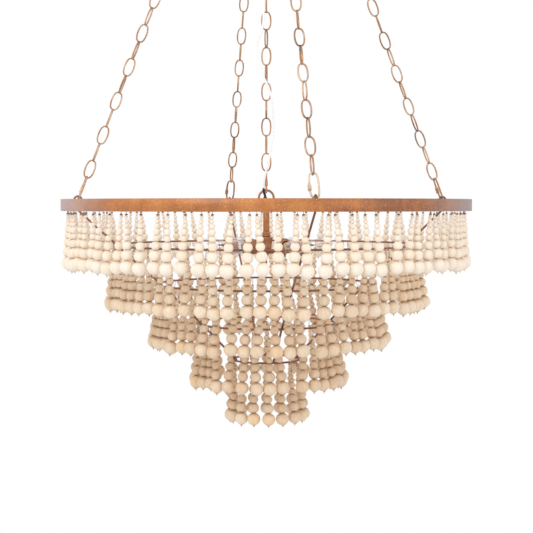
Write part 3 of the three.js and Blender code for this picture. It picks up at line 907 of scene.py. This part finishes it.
chainPlan = {
    "linkPitch": 39 * mm,
    "linkWidth": 23.4 * mm,
    # the first links are narrower, where the chains meet on the top ring
    "narrowWidth": 19 * mm,
    "narrowLinks": 4,
    "linkWire": 1.8 * mm,
    "weld": 0.25 * mm,
    "quickLength": 54 * mm,
    "quickWidth": 22.6 * mm,
    "quickWire": 2.0 * mm,
    "thread": [(2, -9), (2.36, -8.6), (2.36, 8.6), (2, 9)],
    "seatGap": 0.3 * mm,
    "hangingHeight": 1040 * mm,
    "topWire": 3.0 * mm,
    "stemEyeWire": 2.5 * mm,
    "linkShares": (0.72, 0.96),
    "quickShares": (0.42, 0.9),
    # the quick link's threaded side, and the hexagonal sleeve on it
    "threadRise": 3 * mm,
    "sleeveShare": 1.95,
    "sleeveLength": 12 * mm,
    "sleeveRise": 4.5 * mm,
    "sleeveBevel": 0.6,
    "slowTwist": 0.16,
    "twistSpread": 0.07,
    # how far down each chain takes up its twist, and over how much of it
    "twistPlaces": {"right": 0.4, "back": 0.5, "left": 0.55, "front": 0.76, "centre": 0.5},
    "twistRun": 0.16,
    # where each chain sits round the foot of the top ring, in degrees, and which rib it goes to
    "hooks": {"right": (24, 0), "back": (-10.5, 1), "left": (-24, 2), "front": (10.5, 3)},
    "seed": 11,
}
ribPlan = {
    "wire": 2.4 * mm,
    "footRun": 16 * mm,
    "hoopThickness": 3.0 * mm,
    "eyeReach": hoopRadius - 36 * mm,
    "eyeRise": 10.6 * mm,
    "eyeRadius": 8.2 * mm,
    "eyeWire": 2.2 * mm,
    "tail": 4.0 * mm,
    "bend": 9 * mm,
}


def ovalRoute(length, width, wire, steps, sideShare, endShare):
    # the middle line of a link, long on Z and flat on Y; lower shares give straighter sides and ends
    wide, reach = width / 2 - wire, length / 2 - wire
    route = []
    for i in range(2 * steps):
        angle = pi * i / steps
        x, z = cos(angle), sin(angle)
        route.append(Vector((
            wide * copysign(abs(x) ** sideShare, x), 0,
            reach * copysign(abs(z) ** endShare, z),
        )))
    return route


def linkShape(length, width, wire, shares, steps, sides):
    return tubeShape(ovalRoute(length, width, wire, steps, *shares), wire, sides, closed=True, across=ahead)


def hexShape(radius, height, bevel):
    # a hexagonal nut with its corners turned down
    foot, head = [(bevel, 0), (0, bevel)], [(0, bevel), (bevel, 0)]
    return latheShape(wallProfile(0, radius, -height / 2, height / 2, foot, head), sides=6)


def layChain(name, top, topAcross, foot, footAcross, footWire, sleeveHand):
    look = chainPlan
    down = foot - top
    run = down.length
    down.normalize()
    quickHalf = look["quickLength"] / 2 - 2 * look["quickWire"]
    spare = look["topWire"] + footWire + 3 * look["seatGap"] - 2 * quickHalf
    count = round((run + spare) / look["linkPitch"])
    inner = (run + spare - (count - 1) * look["weld"]) / count
    first = (topAcross - down * topAcross.dot(down)).normalized()
    last = (footAcross - down * footAcross.dot(down)).normalized()
    needed = atan2(down.dot(first.cross(last)), first.dot(last))
    left = needed - count * pi / 2
    left -= pi * round(left / pi)
    chance = random.Random(look["seed"] + len(name))

    chain = Piece(f"chain{name.capitalize()}", chainMetal)
    wire, length = look["linkWire"], inner + 2 * look["linkWire"]
    narrow, wide = (linkShape(length, look[width], wire, look["linkShares"], steps=9, sides=6)
                    for width in ("narrowWidth", "linkWidth"))
    start = inner / 2 - look["topWire"] - look["seatGap"]
    for i in range(count):
        share = i / (count - 1)
        twist = look["slowTwist"] * sin(pi * share) * sleeveHand + chance.gauss(0, look["twistSpread"])
        taken = min(max((share - look["twistPlaces"][name]) / look["twistRun"] + 0.5, 0), 1)
        turn = i * pi / 2 + left * taken * taken * (3 - 2 * taken) + twist
        across = Matrix.Rotation(turn, 3, down) @ first
        shape = narrow if i < look["narrowLinks"] else wide
        chain.add(shape, aim(top + down * (start + i * (inner + look["weld"])), down, across))
    chain.build(f"chain_{name}")

    quick = Piece(f"quickLink{name.capitalize()}", paleBrass if name == "front" else chainMetal)
    place = aim(top + down * (run + footWire + look["seatGap"] - quickHalf), down, last)
    wire = look["quickWire"]
    size = (look["quickLength"], look["quickWidth"], wire, look["quickShares"])
    quick.add(linkShape(*size, steps=14, sides=10), place)
    side = (look["quickWidth"] / 2 - wire) * sleeveHand
    thread = latheShape(inMetres(look["thread"]), sides=12)
    sleeve = hexShape(wire * look["sleeveShare"], look["sleeveLength"], look["sleeveBevel"])
    quick.add(thread, place @ move((side, 0, look["threadRise"])))
    quick.add(sleeve, place @ move((side, 0, look["sleeveRise"])), flat=True)
    quick.build(f"quick_link_{name}", slot="pale_brass" if name == "front" else "copper")


def buildChains():
    wire, eyeWire = chainPlan["topWire"], chainPlan["stemEyeWire"]
    low, high = nodeBox("top_ring")
    middle, radius = (low + high) / 2, (high.z - low.z) / 2 - wire
    ring = eyeShape(radius, middle, wire, steps=56, sides=12)
    buildOne("topRing", chainMetal, ring, "top_ring", "top_ring")

    lean = atan2(ribPlan["eyeReach"], chainPlan["hangingHeight"] - ribPlan["eyeRise"])
    reach = ribPlan["eyeReach"] - ribPlan["eyeRadius"] * sin(lean)
    height = hoopLevel + ribPlan["eyeRise"] + ribPlan["eyeRadius"] * cos(lean)
    for name, (degrees, quarter) in chainPlan["hooks"].items():
        angle = radians(degrees)
        top = middle + Vector((radius * sin(angle), 0, -radius * cos(angle)))
        topAcross = Vector((cos(angle), 0, sin(angle)))
        turn = frameTurn + quarter * pi / 2
        footAcross = polar(cos(lean), turn, sin(lean))
        hand = -1 if name in ("front", "left") else 1
        layChain(name, top, topAcross, polar(reach, turn, height), footAcross, ribPlan["eyeWire"], hand)
    eyeTop = up * (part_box("stem_eye")[1][2] - eyeWire)
    across = Vector((1, 0, 0))
    layChain("centre", middle - up * radius, across, eyeTop, across, eyeWire, 1)
    print("chains hung")


buildChains()

# Hoop, rings and ribs

hoopPlan = {"sides": 160, "bevel": 0.5 * mm, "ringSteps": (150, 130, 110, 80, 60)}


def buildHoop():
    outer, inner = hoopRadius, hoopRadius - ribPlan["hoopThickness"]
    half, bevel = (hoopHigh.z - hoopLow.z) / 2, hoopPlan["bevel"]
    lower = [(inner, bevel - half), (inner + bevel, -half), (outer - bevel, -half), (outer, bevel - half)]
    upper = [(radius, -height) for radius, height in lower[::-1]]
    band = latheShape([*lower, (outer, 0), *upper, lower[0]], hoopPlan["sides"])
    buildOne("hoopBand", copper, band, "hoop_band", place=move(up * hoopLevel))
    for node, steps in zip(strandPlan["rings"], hoopPlan["ringSteps"]):
        radius, level, half = ringBox(node)
        ring = tubeShape(ringRoute(radius, steps, level), half * sqrt(2), sides=8, closed=True, across=up)
        buildOne(node.replace("_", ""), bronzeWire, ring, node)


def rounded(route, size):
    # takes each inner corner of a route off with a short curve
    smooth = [route[0]]
    for before, corner, after in zip(route, route[1:], route[2:]):
        into = corner + (before - corner).normalized() * min(size, (before - corner).length * 0.4)
        out = corner + (after - corner).normalized() * min(size, (after - corner).length * 0.4)
        for share in (0, 0.25, 0.5, 0.75, 1):
            smooth.append(into.lerp(corner, share).lerp(corner.lerp(out, share), share))
    return smooth + [route[-1]]


def buildRibs():
    look = ribPlan
    rings = [ringBox(node) for node in strandPlan["rings"]]
    gap, (_, railLevel, railHalf) = chainPlan["seatGap"], rings[0]
    footLevel = railLevel + look["wire"] + railHalf + gap
    offset = (look["wire"] + railHalf * sqrt(2) + gap) / sqrt(2)
    inner = hoopRadius - look["hoopThickness"]
    route = [Vector((inner - inset, 0, footLevel)) for inset in (gap, look["footRun"])]
    route += [Vector((radius - offset, 0, level + offset)) for radius, level, _ in rings[1:]]
    route.append(route[-1] - Vector((look["tail"], 0, look["tail"])))
    slope = (route[1].z - route[2].z) / (route[1].x - route[2].x)
    shankFoot = route[2].z + slope * (look["eyeReach"] - route[2].x)
    eyeCentre = Vector((look["eyeReach"], 0, hoopLevel + look["eyeRise"]))
    line = rounded(route, look["bend"])
    for quarter, name in enumerate(("right", "back", "left", "front")):
        turn = spin(frameTurn + quarter * pi / 2)
        rib = Piece(f"rib{name.capitalize()}", bronzeWire)
        rib.add(tubeShape(line, look["wire"], sides=10, across=ahead), turn)
        rib.add(eyeShape(look["eyeRadius"], eyeCentre, look["eyeWire"], steps=28, sides=10), turn)
        shank = [Vector((look["eyeReach"], 0, shankFoot)), eyeCentre - up * look["eyeRadius"]]
        rib.add(tubeShape(shank, look["eyeWire"], sides=10), turn)
        rib.build(f"rib_{name}")
    print("hoop, rings and ribs made")


buildHoop()
buildRibs()

# Centre stem and lamps

stemPlan = {
    "eyeWire": 2.5 * mm,
    "eyeRadius": 16.4 * mm,
    "baseRadius": 8 * mm,
    "baseHeight": 6 * mm,
    "tubeRadius": 6.9 * mm,
    "tubeBore": 5.2 * mm,
    "sleeveBore": 2.6 * mm,
    "socketDepth": 12 * mm,
    "knobRadius": 14 * mm,
    "knobHeight": 10 * mm,
    "neckRadius": 3 * mm,
    # profiles as radius and height in millimetres: the hub from its foot and from its shoulder
    "hubFoot": [(10.2, 0), (11, 0.9), (11.3, 4)],
    "hubShoulder": [
        (14.2, -5), (15, -2.2), (14.5, -0.6), (13.4, 0), (9.4, 0), (9.2, 1), (10, 1.4), (10, 4.4), (9.3, 5),
        (8.8, 5.2), (8.6, 6.4), (9.4, 6.9), (9.4, 8.2), (8.6, 8.8), (8.2, 11.4), (7.3, 12),
    ],
    "finial": [
        (0, 0), (3.1, 0), (4.7, 0.7), (5, 1.7), (4.3, 3.1), (2.9, 5.25), (2.2, 8), (2, 12), (2.4, 24),
        (5.1, 26.5), (5.1, 28), (3, 28.8),
    ],
}
lampPlan = {
    "count": 6,
    "drop": 89 * mm,
    "cupInner": 64 * mm,
    "cupRadius": 13.4 * mm,
    "cupWall": 1.6 * mm,
    "armRadius": 4 * mm,
    "armReach": 78 * mm,
    "armStart": 0.6,  # as a share of the knob's radius
    "knuckleRadius": 5 * mm,
    "knuckleDrop": 11 * mm,
    "bulbStart": 67.3 * mm,
    "glassWall": 0.6 * mm,
    # profiles as radius and reach in millimetres, outward from the middle of the cluster
    "cup": [
        (0, 0), (11, 0), (12.6, 0.7), (13.4, 2.4), (13.2, 12.1), (13.3, 20), (13.4, 20.8), (13.4, 21.7),
        (13, 22), (11.8, 22), (11.8, 3), (0, 3),
    ],
    "glass": [
        (9, 22), (9.9, 28), (13, 38), (15.2, 47), (16, 56), (15, 66), (12.3, 76), (8.2, 86), (4.4, 93),
        (2.2, 96.5), (0, 98),
    ],
    "screwFoot": [(0, 0), (3.4, 0), (4.2, 1.6), (8.2, 3)],
    "screwHead": [(9.4, 23.4), (9.3, 24.2), (0, 24.2)],
    "screwRadius": 9.4,
    "threads": 12,
    "threadPitch": 1.6,
    "threadDepth": 0.55,
    "glassStem": [(0, 24), (3.2, 24.4), (2.4, 31), (1.6, 38), (0, 40)],
    "lead": [(1.1, 37), (2.2, 47), (3.4, 58)],
    "leadWire": 0.3 * mm,
    "coilWire": 0.12 * mm,
    "coilRadius": 0.5,
    "coilSteps": 40,
    "coilTightness": 5,
}


def buildStem():
    look = stemPlan
    low, high = nodeBox("stem_tube")
    edges = [(0.3, 0), (0, 0.3)]
    tube = wallProfile(look["tubeBore"], look["tubeRadius"], low.z, high.z, edges, edges[::-1])
    buildOne("stemTube", lampCopper, latheShape(tube, sides=28), "stem_tube")

    low, high = nodeBox("stem_eye")
    centre = up * (high.z - look["eyeWire"] - look["eyeRadius"])
    foot, head = [(0.6, 0), (0, 0.8)], [(0, 1.6), (1.4, 0.3), (3.4, 0)]
    eye = Piece("stemEye", brownMetal)
    eye.add(eyeShape(look["eyeRadius"], centre, look["eyeWire"], steps=48, sides=12))
    base = wallProfile(0, look["baseRadius"], low.z, low.z + look["baseHeight"], foot, head)
    eye.add(latheShape(base, sides=28))
    eye.build("stem_eye")

    low, high = nodeBox("cord_grommet")
    middle, half = (low + high) / 2, (high - low) / 2
    foot, head = [(0.4, 0), (0, 0.5)], [(0, 3.75), (0.7, 0.8), (1.2, 0)]
    wall = latheShape(wallProfile(look["sleeveBore"], half.y, -half.z, half.z, foot, head), sides=20)
    buildOne("cordSleeve", blackRubber, wall, "cord_grommet", place=move(middle), slot="rubber")

    low, high = nodeBox("hub_body")
    shoulder = inMetres(look["hubShoulder"], high.z - look["socketDepth"])
    hub = [(0, low.z), *inMetres(look["hubFoot"], low.z), *shoulder, (0, high.z)]
    buildOne("hubBody", brownMetal, latheShape(hub, sides=36), "hub_body")

    low, high = nodeBox("finial")
    finial = [*inMetres(look["finial"], low.z), (look["neckRadius"], high.z), (0, high.z)]
    buildOne("lampFinial", bronzeWire, latheShape(finial, sides=24), "finial")


def layAlong(reach, level, turn):
    # stands a shape that is long on Z along the lamp's own way out from the middle
    outward = spin(turn) @ move((reach, 0, level))
    return outward @ spin(pi / 2, "Y")


def bulbShapes(look):
    # glass shell, screw base, then the wires inside
    glass, wall = inMetres(look["glass"]), look["glassWall"]
    inner = [(max(r - wall, 0), z - (wall if r == 0 else 0)) for r, z in glass]
    shell = latheShape(glass + inner[::-1] + glass[:1], sides=28)
    ridges = [(look["screwRadius"] - (look["threadDepth"] if i % 2 else 0), 4 + i * look["threadPitch"])
              for i in range(look["threads"])]
    screw = latheShape(inMetres(look["screwFoot"] + ridges + look["screwHead"]), sides=20)
    wires = [latheShape(inMetres(look["glassStem"]), sides=12)]
    for side in (-1, 1):
        lead = [Vector((side * x, 0, z)) * mm for x, z in look["lead"]]
        wires.append(tubeShape(lead, look["leadWire"], sides=5))
    (end, height), steps, thick = look["lead"][-1], look["coilSteps"], look["coilRadius"]
    coil = []
    for k in range(steps + 1):
        x = -end + 2 * end * k / steps
        wound = x * look["coilTightness"]
        coil.append(Vector((x, thick * cos(wound), height + thick * sin(wound))) * mm)
    return shell, screw, [*wires, tubeShape(coil, look["coilWire"], sides=4)]


def buildLamps():
    look = lampPlan
    level = hoopLevel - look["drop"]
    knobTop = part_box("hub_body")[0][2] - chainPlan["seatGap"]
    knobBottom = knobTop - stemPlan["knobHeight"]
    armLevel = (knobTop + knobBottom) / 2
    knob, knuckle, reach = stemPlan["knobRadius"], look["knuckleRadius"], look["armReach"]
    arms = Piece("lampArms", lampCopper, bronzeWire)
    foot, head = [(3, 0), (0.7, 1.6), (0, 4)], [(0, 3), (1, 0.8), (2.2, 0)]
    arms.add(latheShape(wallProfile(0, knob, knobBottom, knobTop, foot, head), sides=36), slot=1)
    foot, head = [(3.2, 0.6), (2.6, 2.4), (3.4, 3.6), (1.5, 5), (0, 7.6)], [(0, 1), (1, 0)]
    bottom, top = armLevel - look["knuckleDrop"], level - look["cupRadius"] + look["cupWall"]
    drop = latheShape(wallProfile(0, knuckle, bottom, top, foot, head), sides=20)
    ends = [Vector((x, 0, armLevel)) for x in (knob * look["armStart"], reach)]
    arm = tubeShape(ends, look["armRadius"], sides=14)
    cup = latheShape(inMetres(look["cup"]), sides=28)
    shell, screw, wires = bulbShapes(look)
    for i in range(look["count"]):
        turn = tau * i / look["count"]
        turned = spin(turn)
        arms.add(arm, turned, slot=1)
        arms.add(drop, turned @ move((reach, 0, 0)), slot=1)
        arms.add(cup, layAlong(look["cupInner"], level, turn))
        place = layAlong(look["bulbStart"], level, turn)
        bulb = Piece(f"bulb{i + 1}", lampGlass, lampBase, filamentWire)
        bulb.add(shell, place)
        bulb.add(screw, place, slot=1)
        for shape in wires:
            bulb.add(shape, place, slot=2)
        bulb.build(f"bulb_{i + 1}", f"bulb_{i + 1}", slot="glass")
    arms.build("lamp_arms")
    print("stem and lamps made")


buildStem()
buildLamps()

# Ceiling mount and canopy, above the photograph's edge

mountPlan = {
    "nippleRadius": 4.8 * mm,
    "nippleBore": 3.4 * mm,
    "threadPitch": 1.4 * mm,
    "threadDepth": 0.5 * mm,
    "slotLength": 16 * mm,
    "slotWidth": 5 * mm,
    "slotPlace": 35 * mm,
    "holeRadius": 5.2 * mm,
    "bossRadius": 16 * mm,
    "bossHeight": 17 * mm,
    "bossBore": 5.2 * mm,
    "loopRadius": 13 * mm,
    "loopWire": 2.5 * mm,
    "canopyRadius": 66 * mm,
    "canopyHeight": 26 * mm,
    "rimHeight": 7 * mm,
    "flatRadius": 36 * mm,
    "wall": 1.6 * mm,
    "canopyHole": 16.8 * mm,
    "collarBore": 16.9 * mm,
}


def plateWithHoles(look, length, width, thickness):
    # the bracket's outline with its slots, as a flat plate
    curve = bpy.data.curves.new("bracketOutline", "CURVE")
    curve.dimensions = "2D"
    curve.fill_mode = "BOTH"
    curve.extrude = thickness / 2
    half, end = length / 2, width / 2
    outline = [(x - half + end, y) for x, y in arc(end, pi / 2, pi, 12)]
    outline += [(-x, -y) for x, y in outline]
    holes = [arc(look["holeRadius"], 0, tau, 24)[:-1]]
    run = (look["slotLength"] - look["slotWidth"]) / 2
    slot = [(run + x, y) for x, y in arc(look["slotWidth"] / 2, -pi / 2, pi, 8)]
    slot += [(-x, -y) for x, y in slot]
    holes += [[(x + side * look["slotPlace"], y) for x, y in slot] for side in (-1, 1)]
    for loop in [outline, *holes]:
        spline = curve.splines.new("POLY")
        spline.points.add(len(loop) - 1)
        spline.points.foreach_set("co", [value for x, y in loop for value in (x, y, 0, 1)])
        spline.use_cyclic_u = True
    maker = addObject("bracketOutline", curve)
    mesh = bpy.data.meshes.new_from_object(maker.evaluated_get(bpy.context.evaluated_depsgraph_get()))
    bpy.data.objects.remove(maker)
    points = np.array([tuple(vertex.co) for vertex in mesh.vertices])
    faces = [tuple(polygon.vertices) for polygon in mesh.polygons]
    bpy.data.meshes.remove(mesh)
    return points, faces


def canopyProfile(look):
    # a shallow bowl: the outside up to its hole, then the inside back
    wide, flat, rim, wall, hole = (look[key] for key in ("canopyRadius", "flatRadius", "rimHeight", "wall",
                                                         "canopyHole"))
    height = look["canopyHeight"]
    quarter = arc(1, 0, pi / 2, 10)[1:]
    outer = [(flat + (wide - flat) * x, -rim - (height - rim) * y) for x, y in quarter]
    inner = [(flat + (wide - wall - flat) * x, -rim - (height - wall - rim) * y) for x, y in quarter]
    return [(wide, 0), (wide, -rim), *outer, (hole, -height), (hole, -height + wall), *inner[::-1],
            (wide - wall, -rim), (wide - wall, 0), (wide, 0)][::-1]


def buildMount():
    look = mountPlan
    low, high = nodeBox("ceiling_bracket")
    plate, middle = plateWithHoles(look, *(high - low)), move((low + high) / 2)
    where = ("ceiling_bracket", "ceiling_mount")
    buildOne("ceilingBracket", zincSteel, plate, *where, place=middle, flat=True, slot="zinc")

    low, high = nodeBox("threaded_nipple")
    steps = 2 * int((high.z - low.z) / look["threadPitch"])
    thread = [(look["nippleRadius"] - (look["threadDepth"] if k % 2 else 0),
               low.z + (high.z - low.z) * k / steps) for k in range(steps + 1)]
    bore = look["nippleBore"]
    nipple = latheShape([(bore, low.z), *thread, (bore, high.z), (bore, low.z)], sides=24)
    buildOne("threadedNipple", zincSteel, nipple, "threaded_nipple", "ceiling_mount", slot="zinc")

    low, high = nodeBox("hanging_loop")
    foot, head = [(1.4, 0), (0, 1.4)], [(0, 0.8), (0.8, 0)]
    loop = Piece("hangingLoop", chainMetal)
    boss = wallProfile(look["bossBore"], look["bossRadius"], high.z - look["bossHeight"], high.z, foot, head)
    loop.add(latheShape(boss, sides=36))
    centre = move((0, 0, low.z + look["loopRadius"] + look["loopWire"]))
    eye = eyeShape(look["loopRadius"], Vector(), look["loopWire"], steps=40, sides=12)
    loop.add(eye, centre @ spin(pi / 2))
    loop.build("hanging_loop", "ceiling_mount")

    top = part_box("canopy_cup")[1][2]
    cup = [(radius, top + level) for radius, level in canopyProfile(look)]
    buildOne("canopyCup", copper, latheShape(cup, sides=60), "canopy_cup", "canopy")

    low, high = nodeBox("collar_nut")
    foot, head = [(1.4, 0), (0.2, 1.2), (0, 2.4)], [(0, 1.6), (0.8, 0)]
    collar = wallProfile(look["collarBore"], high.x, low.z, high.z, foot, head)
    buildOne("collarNut", chainMetal, latheShape(collar, sides=48), "collar_nut", "collar")
    print("ceiling mount made")


buildMount()

# Floor, lamps and backdrop

studioPlan = {
    "floorDrop": 1.15,
    "floorRadius": 1.9,
    "floorColour": (238, 238, 238),
    "domeStrength": 0.92,
    # each lamp's place, with its height over the hoop, its width and its power
    "lamps": {"keyLamp": ((-1.8, -3.2, 1.8), 1.8, 38.0), "fillLamp": ((2.6, -2.4, 0.4), 2.0, 10.0)},
    "lampAim": (0, 0, -0.2),
}


def buildWorld(look):
    # the backdrop shows white straight on, in a gloss and through glass, and lights a little less
    world = bpy.data.worlds.new("studio")
    bpy.context.scene.world = world
    world.use_nodes = True
    tree = world.node_tree
    tree.nodes.clear()
    camera, glossy, through = (addNode(tree, "ShaderNodeLightPath", out=f"Is {ray} Ray")
                               for ray in ("Camera", "Glossy", "Transmission"))
    seen = camera.most(glossy).most(through)
    strength = seen * (1 - look["domeStrength"]) + look["domeStrength"]
    glow = addNode(tree, "ShaderNodeBackground", {"Color": (1, 1, 1, 1), "Strength": strength})
    addNode(tree, "ShaderNodeOutputWorld", {"Surface": glow})


def buildFloor(look):
    floor = Piece("floor", makePlain("floorPaint", look["floorColour"], 0.8))
    level = cadBounds[0][2] - look["floorDrop"]
    floor.add(latheShape([(0, 0), (look["floorRadius"], 0)], sides=96), move((0, 0, level)))
    floor.mesh()


def buildLights(look):
    hoop = up * hoopLevel
    for name, (place, width, power) in look["lamps"].items():
        data = bpy.data.lights.new(name, "AREA")
        data.shape = "SQUARE"
        data.size = width
        data.energy = power
        lamp = addObject(name, data)
        lamp.location = hoop + Vector(place)
        ray = Vector(look["lampAim"]) - Vector(place)
        lamp.rotation_euler = ray.to_track_quat("-Z", "Y").to_euler()


buildWorld(studioPlan)
buildFloor(studioPlan)
buildLights(studioPlan)
bpy.context.scene.view_settings.view_transform = "Standard"
print("studio lit")
